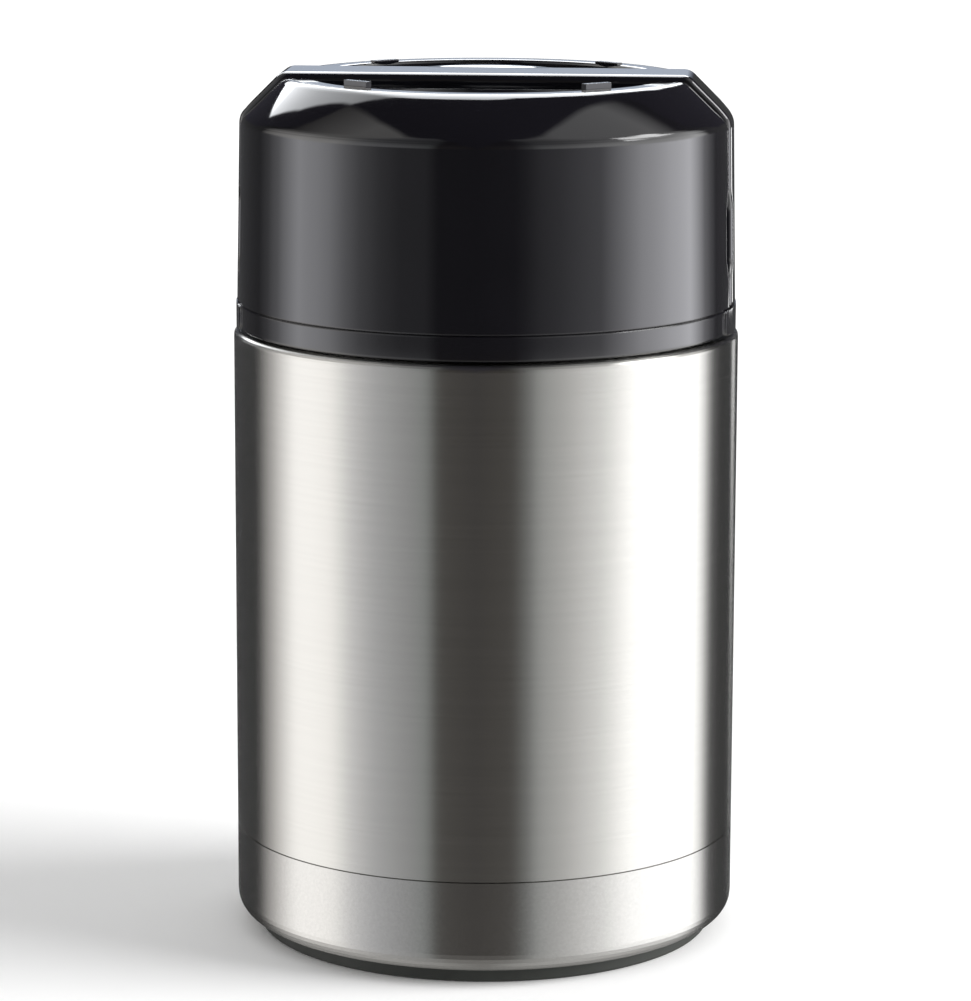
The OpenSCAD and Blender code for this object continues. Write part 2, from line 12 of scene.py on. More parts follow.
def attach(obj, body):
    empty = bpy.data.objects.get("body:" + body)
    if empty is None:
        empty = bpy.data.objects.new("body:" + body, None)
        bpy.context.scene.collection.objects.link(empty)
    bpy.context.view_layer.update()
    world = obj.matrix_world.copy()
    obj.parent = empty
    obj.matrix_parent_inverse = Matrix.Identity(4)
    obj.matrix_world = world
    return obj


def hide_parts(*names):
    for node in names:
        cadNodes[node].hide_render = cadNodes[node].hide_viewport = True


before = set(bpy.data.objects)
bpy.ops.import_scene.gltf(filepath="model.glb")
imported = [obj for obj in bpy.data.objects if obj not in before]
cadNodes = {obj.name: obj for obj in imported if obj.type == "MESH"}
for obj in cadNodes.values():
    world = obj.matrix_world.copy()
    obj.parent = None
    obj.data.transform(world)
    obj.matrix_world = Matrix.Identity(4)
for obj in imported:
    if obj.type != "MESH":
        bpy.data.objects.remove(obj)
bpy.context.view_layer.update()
print("stage: frame loaded,", len(cadNodes), "nodes")

mm = 0.001
mergeWithin = 0.002 * mm     # points of a mesh that are closer than this are one


def hexLinear(text):
    # An sRGB hex colour as linear red, green, blue, alpha.
    share = np.array([int(text[i:i + 2], 16) for i in (1, 3, 5)]) / 255
    linear = np.where(share <= 0.04045, share / 12.92, ((share + 0.055) / 1.055) ** 2.4)
    return (*linear.tolist(), 1.0)


def addNode(tree, kind, settings=None, **inputs):
    # Adds one node. settings are its properties, inputs its sockets by name or _number: values or links.
    node = tree.nodes.new(kind)
    for name, value in (settings or {}).items():
        setattr(node, name, value)
    for name, value in inputs.items():
        socket = node.inputs[int(name[1:])] if name[0] == "_" else node.inputs[name.replace("_", " ")]
        if isinstance(value, bpy.types.NodeSocket):
            tree.links.new(value, socket)
        else:
            socket.default_value = value
    return node


def newMaterial(name, **sockets):
    # A Principled material. sockets are values on the shader's own inputs.
    material = bpy.data.materials.new(name)
    material.use_nodes = True
    shader = material.node_tree.nodes["Principled BSDF"]
    for socket, value in sockets.items():
        shader.inputs[socket.replace("_", " ")].default_value = value
    return material, material.node_tree, shader


def connect(tree, shader, **links):
    # Links outputs to the shader's inputs.
    for socket, output in links.items():
        tree.links.new(output, shader.inputs[socket.replace("_", " ")])


def setRamp(node, stops):
    # Fills a Color Ramp with (place, colour) stops.
    ramp = node.color_ramp
    while len(ramp.elements) < len(stops):
        ramp.elements.new(1.0)
    for element, (place, colour) in zip(ramp.elements, stops):
        element.position = place
        element.color = (*colour[:3], 1.0)


def newPiece(name, points, faces, material, body):
    # A mesh from points in mm and faces, its doubles merged and its normals outwards, riding on a body.
    mesh = bpy.data.meshes.new(name)
    mesh.from_pydata((points * mm).tolist(), [], faces)
    work = bmesh.new()
    work.from_mesh(mesh)
    bmesh.ops.remove_doubles(work, verts=work.verts, dist=mergeWithin)
    bmesh.ops.recalc_face_normals(work, faces=work.faces)
    work.to_mesh(mesh)
    work.free()
    mesh.polygons.foreach_set("use_smooth", np.ones(len(mesh.polygons), dtype=bool))
    mesh.materials.append(material)
    piece = bpy.data.objects.new(name, mesh)
    bpy.context.scene.collection.objects.link(piece)
    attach(piece, body)
    return piece


def tubeFaces(rows, columns, start=0):
    # Quads between the rows of a closed section, and a face over each end.
    index = start + np.arange(rows * columns).reshape(rows, columns)
    beside = np.roll(index, -1, axis=1)
    quads = np.stack([index[:-1], beside[:-1], beside[1:], index[1:]], axis=-1)
    return quads.reshape(-1, 4).tolist() + [index[0][::-1].tolist(), index[-1].tolist()]


cameraSetup = {
    "azimuth": 4.0,          # degrees round to the right of -Y
    "away": 0.820, "height": 0.2471,          # metres, level distance from the axis and height over the table
    "aimZ": 0.0862,          # height at which the middle of the picture meets the jar's axis
    "roll": 0.19,            # degrees
    "lens": 150.04, "longSide": 36.0,         # mm, of the lens and of the picture behind it
    "near": 0.05, "far": 20.0,
}


def makeCamera(setup):
    # Stands at its azimuth, distance and height, looks at the aim on the axis and rolls about that line.
    around = math.radians(setup["azimuth"])
    away = setup["away"]
    place = Vector((math.sin(around) * away, -math.cos(around) * away, setup["height"]))
    ahead = (Vector((0, 0, setup["aimZ"])) - place).normalized()
    right = ahead.cross(Vector((0, 0, 1))).normalized()
    up = right.cross(ahead)
    turn = math.radians(setup["roll"])
    right, up = right * math.cos(turn) + up * math.sin(turn), up * math.cos(turn) - right * math.sin(turn)
    data = bpy.data.cameras.new("camera")
    data.lens, data.sensor_width = setup["lens"], setup["longSide"]
    data.clip_start, data.clip_end = setup["near"], setup["far"]
    camera = bpy.data.objects.new("camera", data)
    camera.matrix_world = Matrix((right, up, -ahead)).transposed().to_4x4()
    camera.location = place
    bpy.context.scene.collection.objects.link(camera)
    bpy.context.scene.camera = camera


bpy.context.scene.view_settings.view_transform = "Standard"
makeCamera(cameraSetup)
print("stage: camera")


studio = {
    # What gloss and metal see round the jar at its own height: (azimuth in degrees, level, tint).
    # 0 is towards -Y, 90 towards +X, 180 behind.
    "panels": [(-180, 0.05, "#ffffff"), (-125, 0.05, "#ffffff"), (-119, 0.40, "#fffcf9"),
               (-108, 0.95, "#fffcfa"), (-93, 1.68, "#fffdfb"), (-71, 1.68, "#fffdfb"),
               (-60, 1.08, "#fdfdff"), (-48, 0.78, "#fafbff"), (-30, 0.52, "#fafcff"),
               (-23, 0.42, "#f8ffff"), (-18, 0.08, "#fff6ee"), (0, 0.055, "#fff2e8"),
               (17, 0.08, "#fff6ee"), (24, 0.28, "#fcffff"), (29, 0.58, "#fcffff"), (42, 0.86, "#ffffff"),
               (57, 1.30, "#ffffff"), (73, 1.85, "#ffffff"), (119, 1.95, "#ffffff"), (125, 1.10, "#ffffff"),
               (130, 0.08, "#ffffff"), (180, 0.05, "#ffffff")],
    # Heights here are the upward part of a direction of length 1, from -1 straight down to 1 straight up.
    "dimHeights": (0.2, 0.6), "panelTop": 0.35,      # between these heights the panels fade to this share
    # The same in a band a little below the horizon, where the lid's wall looks: more contrast.
    "lidPanels": [(-180, 0.06), (-126, 0.06), (-122, 0.11), (-117, 0.18), (-108, 0.50), (-100, 1.15),
                  (-92, 1.90), (-80, 1.80), (-73, 1.57), (-64, 0.95), (-56, 0.55), (-46, 0.30), (-36, 0.18),
                  (-24, 0.16), (-18, 0.055), (0, 0.045), (17, 0.055), (22, 0.10), (29, 0.21), (38, 0.30),
                  (58, 0.60), (68, 1.35), (80, 2.35), (98, 3.00), (112, 3.00), (119, 1.60), (125, 0.60),
                  (131, 0.26), (137, 0.07), (180, 0.06)],
    "lidTint": "#fafaff",
    "lidHeights": (-0.172, -0.158, -0.02, 0.02),
    # Borders of the panels and of the light overhead, in a ceiling one metre up: (Y, X).
    "leftPanelEdge": [(-0.26, -0.25), (-0.15, -0.41), (0.07, -0.55), (0.39, -0.71), (0.52, -0.92),
                      (0.72, -1.13), (1.41, -1.49), (4.0, -4.2)],
    "rightPanelEdge": [(-0.26, 0.15), (-0.14, 0.31), (0.04, 0.39), (0.21, 0.46), (0.37, 0.54), (0.67, 0.68),
                       (0.78, 0.84), (1.11, 1.08), (1.71, 1.28), (4.0, 3.0)],
    "lightLeftEdge": [(0.09, 0.0), (0.11, -0.22), (0.16, -0.36), (0.25, -0.52), (0.39, -0.71), (0.49, -0.77),
                      (0.69, -0.91), (1.0, -1.11), (1.9, -1.52), (4.0, -1.52)],
    "lightRightEdge": [(0.09, 0.0), (0.11, 0.06), (0.3, 0.12), (0.8, 0.3), (1.6, 0.5), (4.0, 0.5)],
    # The values of Y at which those borders are kept, closest where they turn.
    "borderSteps": [-0.5, -0.26, -0.15, 0.0, 0.07, 0.09, 0.11, 0.13, 0.16, 0.2, 0.25, 0.3, 0.39, 0.49, 0.6,
                    0.7, 0.8, 0.9, 1.0, 1.11, 1.25, 1.41, 1.6, 1.71, 1.9, 2.3, 2.8, 3.4, 4.0],
    "borderReach": 5.0,      # X up to which the borders are told
    "lowestRise": 0.02,      # height below which the ceiling is too far off
    "dark": (0.036, 0.035, 0.044),                    # between the two panels
    "darkSoft": (-0.002, 0.002), "darkHeights": (0.02, 0.05),
    # Level of the light by Y in that ceiling.
    "light": [(0.2, 1.3), (0.45, 1.9), (0.9, 2.1), (1.9, 2.9), (2.5, 5.5), (3.1, 4.5), (3.7, 1.5)],
    "lightMiddle": 5.2, "middleAcross": (-0.5, -0.3),         # its level over the middle, by X
    "lightTint": (0.95, 0.97, 1.0),
    "lightSoft": (0.0, 0.003), "lightHeights": (0.245, 0.265),
    "backGlow": (0.44, 0.49, 0.58),                   # low behind the jar
    "glowAcross": (-0.24, -0.18, 0.03, 0.09), "glowAlong": (0.75, 0.85),      # X and Y of the direction
    "glowHeights": (0.01, 0.05, 0.24, 0.26),
    "patches": [
        # Narrow, far round on the right: thin white lines down the right of the lid and the handle.
        {"azimuths": (154, 155, 161, 162), "heights": (-0.148, -0.144, -0.095, -0.080), "level": 2.6},
        # High on the right: the line down the handle's slope.
        {"azimuths": (76, 79, 111, 114), "heights": (0.46, 0.50, 0.70, 0.74), "level": 6.0},
    ],
    # The floor as steep reflections see it, with a share of the panels in it.
    "table": (0.36, 0.355, 0.345), "tableShare": 0.78, "tableHeights": (-0.46, -0.66),
    "fill": 0.63,            # level of the world for matt surfaces
    "key": 3.7,              # strength of the wide soft sun on the right, which throws the shadow
    "keyAzimuth": 86.0, "keyHeight": 24.0, "keyWidth": 42.0,      # degrees
    "floorColour": "#e8e8e8",
    "floorShown": 1.28,      # how much whiter the floor looks straight from the camera
    "floorHalf": 4.0,
}


def between(tree, value, low, lowFull, highFull, high):
    # A share: 0 up to low, 1 from lowFull to highFull, 0 from high on, and straight in between.
    rise = addNode(tree, "ShaderNodeMapRange", _0=value, _1=low, _2=lowFull).outputs[0]
    fall = addNode(tree, "ShaderNodeMapRange", _0=value, _1=high, _2=highFull).outputs[0]
    return addNode(tree, "ShaderNodeMath", {"operation": "MULTIPLY"}, _0=rise, _1=fall).outputs[0]


def levelsRound(tree, azimuth, levels):
    # The colour by azimuth of (degrees, level, tint), and the level that it is a share of.
    share = addNode(tree, "ShaderNodeMapRange", _0=azimuth, _1=-math.pi, _2=math.pi).outputs[0]
    ramp = addNode(tree, "ShaderNodeValToRGB", Fac=share)
    top = max(level for _, level, _ in levels)
    setRamp(ramp, [((angle + 180) / 360, [level / top * part for part in hexLinear(tint)])
                   for angle, level, tint in levels])
    return ramp.outputs["Color"], top


def overhead(tree, direction, z, setup):
    # A direction meets a ceiling one metre up at X = x / z and Y = y / z. A place in it is between two
    # borders where it is past the left one and short of the right one. Gives the share that is dark between
    # the panels, the share that is light, and the light's colour.
    rise = addNode(tree, "ShaderNodeMath", {"operation": "MAXIMUM"}, _0=z, _1=setup["lowestRise"]).outputs[0]
    perRise = addNode(tree, "ShaderNodeMath", {"operation": "DIVIDE"}, _0=1.0, _1=rise).outputs[0]
    ceiling = addNode(tree, "ShaderNodeVectorMath", {"operation": "SCALE"}, _0=direction, Scale=perRise)
    across, along, _ = addNode(tree, "ShaderNodeSeparateXYZ", Vector=ceiling.outputs[0]).outputs
    steps, reach = np.array(setup["borderSteps"]), setup["borderReach"]
    start, length = steps[0], steps[-1] - steps[0]
    depth = addNode(tree, "ShaderNodeMapRange", _0=along, _1=start, _2=start + length).outputs[0]
    placed = addNode(tree, "ShaderNodeMapRange", {"clamp": False}, _0=across, _1=-reach, _2=reach).outputs[0]

    panelLeft, panelRight, lightLeft, lightRight = [
        (np.interp(steps, *zip(*setup[name])) + reach) / (2 * reach)
        for name in ("leftPanelEdge", "rightPanelEdge", "lightLeftEdge", "lightRightEdge")]
    places = (steps - start) / length
    three, one = [addNode(tree, "ShaderNodeValToRGB", Fac=depth) for _ in range(2)]
    setRamp(three, list(zip(places, zip(panelLeft, panelRight, lightLeft))))
    setRamp(one, list(zip(places, zip(lightRight, lightRight, lightRight))))
    three, one = [addNode(tree, "ShaderNodeSeparateColor", Color=node.outputs[0]) for node in (three, one)]
    panelLeft, panelRight, lightLeft = three.outputs
    lightRight = one.outputs[0]

    shares = []
    for left, right, soft, heights in (
            (panelLeft, panelRight, setup["darkSoft"], setup["darkHeights"]),
            (lightLeft, lightRight, setup["lightSoft"], setup["lightHeights"])):
        past = addNode(tree, "ShaderNodeMath", {"operation": "SUBTRACT"}, _0=placed, _1=left).outputs[0]
        short = addNode(tree, "ShaderNodeMath", {"operation": "SUBTRACT"}, _0=right, _1=placed).outputs[0]
        least = addNode(tree, "ShaderNodeMath", {"operation": "MINIMUM"}, _0=past, _1=short).outputs[0]
        inside = addNode(tree, "ShaderNodeMapRange", _0=least, _1=soft[0], _2=soft[1]).outputs[0]
        high = addNode(tree, "ShaderNodeMapRange", _0=z, _1=heights[0], _2=heights[1]).outputs[0]
        share = addNode(tree, "ShaderNodeMath", {"operation": "MULTIPLY"}, _0=inside, _1=high)
        shares.append(share.outputs[0])

    strength = addNode(tree, "ShaderNodeValToRGB", Fac=depth)
    most = max(level for _, level in setup["light"])
    setRamp(strength, [((place - start) / length, [level / most * part for part in setup["lightTint"]])
                       for place, level in setup["light"]])
    light = addNode(tree, "ShaderNodeVectorMath", {"operation": "SCALE"}, _0=strength.outputs[0], Scale=most)
    middle = addNode(tree, "ShaderNodeMapRange", _0=across, _1=setup["middleAcross"][0],
                     _2=setup["middleAcross"][1]).outputs[0]
    bright = [setup["lightMiddle"] * part for part in setup["lightTint"]] + [1]
    light = addNode(tree, "ShaderNodeMix", {"data_type": "RGBA"}, _0=middle, _6=light.outputs[0], _7=bright)
    return shares[0], shares[1], light.outputs[2]


def makeWorld(setup):
    # White to the camera, panels by azimuth and height to gloss and metal, plain to matt surfaces.
    world = bpy.data.worlds.new("studio")
    bpy.context.scene.world = world
    world.use_nodes = True
    world.cycles.sampling_method = "NONE"
    tree = world.node_tree
    tree.nodes.clear()
    direction = addNode(tree, "ShaderNodeTexCoord").outputs["Generated"]
    x, y, z = addNode(tree, "ShaderNodeSeparateXYZ", Vector=direction).outputs
    front = addNode(tree, "ShaderNodeMath", {"operation": "MULTIPLY"}, _0=y, _1=-1.0).outputs[0]
    azimuth = addNode(tree, "ShaderNodeMath", {"operation": "ARCTAN2"}, _0=x, _1=front).outputs[0]

    panels, top = levelsRound(tree, azimuth, setup["panels"])
    dim = addNode(tree, "ShaderNodeMapRange", _0=z, _1=setup["dimHeights"][0], _2=setup["dimHeights"][1],
                  _3=top, _4=top * setup["panelTop"]).outputs[0]
    seen = addNode(tree, "ShaderNodeVectorMath", {"operation": "SCALE"}, _0=panels, Scale=dim).outputs[0]
    lidLevels = [(angle, level, setup["lidTint"]) for angle, level in setup["lidPanels"]]
    lidPanels, top = levelsRound(tree, azimuth, lidLevels)
    lidSeen = addNode(tree, "ShaderNodeVectorMath", {"operation": "SCALE"}, _0=lidPanels, Scale=top)
    dark, lit, light = overhead(tree, direction, z, setup)

    behind = addNode(tree, "ShaderNodeMapRange", _0=y, _1=setup["glowAlong"][0],
                     _2=setup["glowAlong"][1]).outputs[0]
    across = between(tree, x, *setup["glowAcross"])
    glow = addNode(tree, "ShaderNodeMath", {"operation": "MULTIPLY"}, _0=behind, _1=across).outputs[0]
    low = between(tree, z, *setup["glowHeights"])
    glow = addNode(tree, "ShaderNodeMath", {"operation": "MULTIPLY"}, _0=glow, _1=low).outputs[0]

    layers = [(between(tree, z, *setup["lidHeights"]), lidSeen.outputs[0]), (dark, (*setup["dark"], 1)),
              (glow, (*setup["backGlow"], 1)), (lit, light)]
    for patch in setup["patches"]:
        turn = between(tree, azimuth, *[math.radians(angle) for angle in patch["azimuths"]])
        tall = between(tree, z, *patch["heights"])
        share = addNode(tree, "ShaderNodeMath", {"operation": "MULTIPLY"}, _0=turn, _1=tall).outputs[0]
        layers.append((share, (*[patch["level"]] * 3, 1)))
    down = addNode(tree, "ShaderNodeMapRange", {"interpolation_type": "SMOOTHSTEP"}, _0=z,
                   _1=setup["tableHeights"][0], _2=setup["tableHeights"][1], _4=setup["tableShare"])
    layers.append((down.outputs[0], (*setup["table"], 1)))
    for share, colour in layers:
        seen = addNode(tree, "ShaderNodeMix", {"data_type": "RGBA"}, _0=share, _6=seen, _7=colour).outputs[2]

    path = addNode(tree, "ShaderNodeLightPath").outputs
    gloss = addNode(tree, "ShaderNodeMix", {"data_type": "RGBA"}, _0=path["Is Glossy Ray"],
                    _6=(*[setup["fill"]] * 3, 1), _7=seen).outputs[2]
    shown = addNode(tree, "ShaderNodeMix", {"data_type": "RGBA"}, _0=path["Is Camera Ray"],
                    _6=gloss, _7=(1, 1, 1, 1)).outputs[2]
    sky = addNode(tree, "ShaderNodeBackground", Color=shown, Strength=1.0)
    addNode(tree, "ShaderNodeOutputWorld", Surface=sky.outputs[0])


def makeFloor(setup):
    # Matt paper: the camera sees it white, and the shadow on it stays.
    material, tree, shader = newMaterial("matt white paper", Roughness=0.9, Specular_IOR_Level=0.0)
    colour = hexLinear(setup["floorColour"])
    path = addNode(tree, "ShaderNodeLightPath").outputs
    shown = [part * setup["floorShown"] for part in colour[:3]] + [1]
    mixed = addNode(tree, "ShaderNodeMix", {"data_type": "RGBA"}, _0=path["Is Camera Ray"],
                    _6=colour, _7=shown)
    connect(tree, shader, Base_Color=mixed.outputs[2])
    half = setup["floorHalf"]
    mesh = bpy.data.meshes.new("floor")
    mesh.from_pydata([(-half, -half, 0), (half, -half, 0), (half, half, 0), (-half, half, 0)], [],
                     [(0, 1, 2, 3)])
    mesh.materials.append(material)
    floor = bpy.data.objects.new("floor", mesh)
    floor.visible_glossy = False
    bpy.context.scene.collection.objects.link(floor)


def makeKey(setup):
    # A sun as wide as a large softbox, so that the floor is lit evenly and the shadow's edge is soft.
    lamp = bpy.data.lights.new("key", "SUN")
    lamp.energy, lamp.angle = setup["key"], math.radians(setup["keyWidth"])
    key = bpy.data.objects.new("key", lamp)
    around, height = math.radians(setup["keyAzimuth"]), math.radians(setup["keyHeight"])
    level = math.cos(height)
    place = Vector((math.sin(around) * level, -math.cos(around) * level, math.sin(height)))
    key.matrix_world = Matrix.Translation(place) @ place.to_track_quat("Z", "Y").to_matrix().to_4x4()
    key.visible_glossy = False
    bpy.context.scene.collection.objects.link(key)


makeWorld(studio)
makeFloor(studio)
makeKey(studio)
print("stage: studio")


steelLook = {
    "body": "#cac9c5", "bodyRoughness": (0.245, 0.262),
    "base": "#c6c5c2", "baseRoughness": (0.252, 0.265),
    "liner": "#cfcdc8", "linerRoughness": (0.16, 0.24),
    "brushPitch": 0.30,      # mm between brush lines, drawn coarser than the real 0.05 mm so that they show
    "brushRun": 30.0,        # mm that a brush line runs round the body
    "ringPitch": 0.8, "ringRun": 120.0,      # mm, the same for the rings that drawing leaves in the liner
    "satinGrain": 0.25,      # mm, grain of the blasted base
}
lidLook = {
    "shell": "#0d0c10",
    "panel": "#0e0e12",
    "handle": "#0e0e12",
    "foot": "#2c2c30", "footRoughness": 0.55,
    "edge": 0.35,            # mm, the small round that every moulded edge has
    "fineEdge": 0.12,        # mm, the sharper edges of the panel
    "feetLow": 171.45,       # mm, above it the panel is only its four rubber-like feet
    "bevelMiddle": 167.0,    # mm, height of the middle of the lid's bevel
    "bevelHalf": 4.0,        # mm of height on each side of it
    "bevelCrown": 67.0,      # mm, radius of the bevel's slight crown
    "flow": 18.0,            # mm, length of the faint waves that moulding leaves in the gloss
    "haze": 900.0,           # patches to a metre in which the gloss is a little duller
}
noiseSpan = {"_1": 0.3, "_2": 0.7}       # a noise mostly lies between these


def varied(colour, dark, light):
    # Ramp stops that vary a colour with a noise, from dark to light times its level.
    return [(place, [part * level for part in hexLinear(colour)])
            for place, level in zip(noiseSpan.values(), (dark, light))]


def ringLines(tree, pitch, run):
    # Noise on Object coordinates, stretched round the body: run mm long in X and Y and about pitch mm from
    # line to line in Z, with two lines in a cell of the noise.
    place = addNode(tree, "ShaderNodeTexCoord").outputs["Object"]
    lines = addNode(tree, "ShaderNodeMapping", Vector=place, Scale=(1000 / run, 1000 / run, 1000 / pitch / 2))
    return addNode(tree, "ShaderNodeTexNoise", Vector=lines.outputs[0], Scale=1.0, Detail=3.0,
                   Roughness=0.6).outputs[0]


def brushedSteel(look):
    # Stainless steel 304, brushed round the body: sharp along the brushing, blurred up and down across it.
    material, tree, shader = newMaterial("brushed stainless steel", Metallic=1.0, Anisotropic=1.0,
                                         Anisotropic_Rotation=0.25)
    lines = ringLines(tree, look["brushPitch"], look["brushRun"])
    tint = addNode(tree, "ShaderNodeValToRGB", Fac=lines)
    setRamp(tint, varied(look["body"], 0.975, 1.02))
    low, high = look["bodyRoughness"]
    rough = addNode(tree, "ShaderNodeMapRange", _0=lines, **noiseSpan, _3=low, _4=high)
    bump = addNode(tree, "ShaderNodeBump", Strength=0.05, Distance=0.00002, Height=lines)
    around = addNode(tree, "ShaderNodeTangent", {"direction_type": "RADIAL", "axis": "Z"})
    connect(tree, shader, Base_Color=tint.outputs[0], Roughness=rough.outputs[0], Normal=bump.outputs[0],
            Tangent=around.outputs[0])
    return material


def satinSteel(look):
    # The pressed base cup: the same steel with a finer, softer satin, so its bands fade lower down.
    material, tree, shader = newMaterial("satin stainless steel", Metallic=1.0, Anisotropic=0.95,
                                         Anisotropic_Rotation=0.25)
    place = addNode(tree, "ShaderNodeTexCoord").outputs["Object"]
    grain = addNode(tree, "ShaderNodeTexNoise", Vector=place, Scale=1000 / look["satinGrain"] / 2, Detail=2.0)
    tint = addNode(tree, "ShaderNodeValToRGB", Fac=grain.outputs[0])
    setRamp(tint, varied(look["base"], 0.96, 1.03))
    low, high = look["baseRoughness"]
    rough = addNode(tree, "ShaderNodeMapRange", _0=grain.outputs[0], **noiseSpan, _3=low, _4=high)
    around = addNode(tree, "ShaderNodeTangent", {"direction_type": "RADIAL", "axis": "Z"})
    connect(tree, shader, Base_Color=tint.outputs[0], Roughness=rough.outputs[0], Tangent=around.outputs[0])
    return material


def polishedSteel(look):
    # The drawn food liner, electropolished: bright, with faint rings from drawing and spinning.
    material, tree, shader = newMaterial("electropolished steel", Metallic=1.0, Anisotropic=0.5,
                                         Anisotropic_Rotation=0.25)
    rings = ringLines(tree, look["ringPitch"], look["ringRun"])
    tint = addNode(tree, "ShaderNodeValToRGB", Fac=rings)
    setRamp(tint, varied(look["liner"], 0.93, 1.0))
    low, high = look["linerRoughness"]
    rough = addNode(tree, "ShaderNodeMapRange", _0=rings, **noiseSpan, _3=low, _4=high)
    bump = addNode(tree, "ShaderNodeBump", Strength=0.2, Distance=0.00003, Height=rings)
    around = addNode(tree, "ShaderNodeTangent", {"direction_type": "RADIAL", "axis": "Z"})
    connect(tree, shader, Base_Color=tint.outputs[0], Roughness=rough.outputs[0], Normal=bump.outputs[0],
            Tangent=around.outputs[0])
    return material


def glossBlack(name, colour, look, crown, roughness, edge, feet=None):
    # ABS moulded in a polished mould: near black, mirror like, with thin bright edges and faint flow waves.
    # crown rounds the lid's bevel a little: height = -(z - middle) squared / radius, flat past the bevel.
    # Above the height feet, in mm, the piece is rubber-like.
    material, tree, shader = newMaterial(name, IOR=1.5, Roughness=roughness, Coat_Weight=1.0,
                                         Coat_Roughness=0.03)
    place = addNode(tree, "ShaderNodeTexCoord").outputs["Object"]
    height = addNode(tree, "ShaderNodeSeparateXYZ", Vector=place).outputs[2]
    waves = addNode(tree, "ShaderNodeTexNoise", Vector=place, Scale=1000 / look["flow"],
                    Detail=1.0).outputs[0]
    haze = addNode(tree, "ShaderNodeTexNoise", Vector=place, Scale=look["haze"], Detail=2.0).outputs[0]
    tint = addNode(tree, "ShaderNodeValToRGB", Fac=waves)
    setRamp(tint, varied(colour, 0.85, 1.15))
    rough = addNode(tree, "ShaderNodeMapRange", _0=haze, _1=0.45, _2=0.75, _3=roughness, _4=roughness * 1.25)
    tint, rough = tint.outputs[0], rough.outputs[0]
    edges = addNode(tree, "ShaderNodeBevel", {"samples": 6}, Radius=edge * mm).outputs[0]
    normal = addNode(tree, "ShaderNodeBump", Strength=0.05, Distance=0.0002, Height=waves, Normal=edges)
    normal = normal.outputs[0]
    if feet:
        isFoot = addNode(tree, "ShaderNodeMath", {"operation": "GREATER_THAN"}, _0=height, _1=feet * mm)
        isFoot = isFoot.outputs[0]
        rough = addNode(tree, "ShaderNodeMix", _0=isFoot, _2=rough, _3=look["footRoughness"]).outputs[0]
        tint = addNode(tree, "ShaderNodeMix", {"data_type": "RGBA"}, _0=isFoot, _6=tint,
                       _7=hexLinear(look["foot"])).outputs[2]
    if crown:
        half, middle = look["bevelHalf"] * mm, look["bevelMiddle"] * mm
        away = addNode(tree, "ShaderNodeMapRange", _0=height, _1=middle - half, _2=middle + half,
                       _3=-half, _4=half).outputs[0]
        square = addNode(tree, "ShaderNodeMath", {"operation": "MULTIPLY"}, _0=away, _1=away).outputs[0]
        arch = addNode(tree, "ShaderNodeMath", {"operation": "DIVIDE"}, _0=square,
                       _1=-look["bevelCrown"] * mm).outputs[0]
        normal = addNode(tree, "ShaderNodeBump", Strength=1.0, Distance=1.0, Height=arch, Normal=normal)
        normal = normal.outputs[0]
    connect(tree, shader, Base_Color=tint, Roughness=rough, Normal=normal, Coat_Normal=normal)
    return material


def mouldedPlastic(name, colour, grain, roughness):
    # Polypropylene from a spark-eroded mould: a fine even grain, in mm, that scatters the light.
    material, tree, shader = newMaterial(name, IOR=1.49)
    place = addNode(tree, "ShaderNodeTexCoord").outputs["Object"]
    pits = addNode(tree, "ShaderNodeTexVoronoi", Vector=place, Scale=1000 / grain).outputs["Distance"]
    cloud = addNode(tree, "ShaderNodeTexNoise", Vector=place, Scale=60.0, Detail=3.0).outputs[0]
    tint = addNode(tree, "ShaderNodeValToRGB", Fac=cloud)
    setRamp(tint, varied(colour, 0.88, 1.12))
    rough = addNode(tree, "ShaderNodeMapRange", _0=pits, _1=0.0, _2=0.6, _3=roughness - 0.06,
                    _4=roughness + 0.06)
    bump = addNode(tree, "ShaderNodeBump", Strength=0.25, Distance=0.00004, Height=pits)
    connect(tree, shader, Base_Color=tint.outputs[0], Roughness=rough.outputs[0], Normal=bump.outputs[0])
    return material


def softRubber(name, colour, roughness, through):
    # Compression-moulded rubber or silicone: matt, slightly cloudy, and silicone lets a little light through.
    material, tree, shader = newMaterial(name, IOR=1.41, Subsurface_Weight=through, Subsurface_Scale=0.002)
    place = addNode(tree, "ShaderNodeTexCoord").outputs["Object"]
    cloud = addNode(tree, "ShaderNodeTexNoise", Vector=place, Scale=250.0, Detail=4.0).outputs[0]
    tint = addNode(tree, "ShaderNodeValToRGB", Fac=cloud)
    setRamp(tint, varied(colour, 0.85, 1.1))
    rough = addNode(tree, "ShaderNodeMapRange", _0=cloud, **noiseSpan, _3=roughness - 0.08,
                    _4=roughness + 0.08)
    bump = addNode(tree, "ShaderNodeBump", Strength=0.3, Distance=0.0001, Height=cloud)
    connect(tree, shader, Base_Color=tint.outputs[0], Roughness=rough.outputs[0], Normal=bump.outputs[0])
    return material


def openFoam(cell, wall, pitShade):
    # Polyurethane foam: warm cream, with open cells, in mm. The hollows of the cells get a darker colour,
    # painted shade that falls into them.
    material, tree, shader = newMaterial("polyurethane foam", Roughness=0.95)
    place = addNode(tree, "ShaderNodeTexCoord").outputs["Object"]
    cells = addNode(tree, "ShaderNodeTexVoronoi", {"feature": "DISTANCE_TO_EDGE"}, Vector=place,
                    Scale=1000 / cell).outputs[0]
    tint = addNode(tree, "ShaderNodeValToRGB", Fac=cells)
    # painted shade: the cells' hollows darker than their walls
    setRamp(tint, [(0.0, hexLinear(wall)), (0.25, hexLinear(pitShade))])
    bump = addNode(tree, "ShaderNodeBump", {"invert": True}, Strength=0.8, Distance=0.0003, Height=cells)
    connect(tree, shader, Base_Color=tint.outputs[0], Normal=bump.outputs[0])
    return material


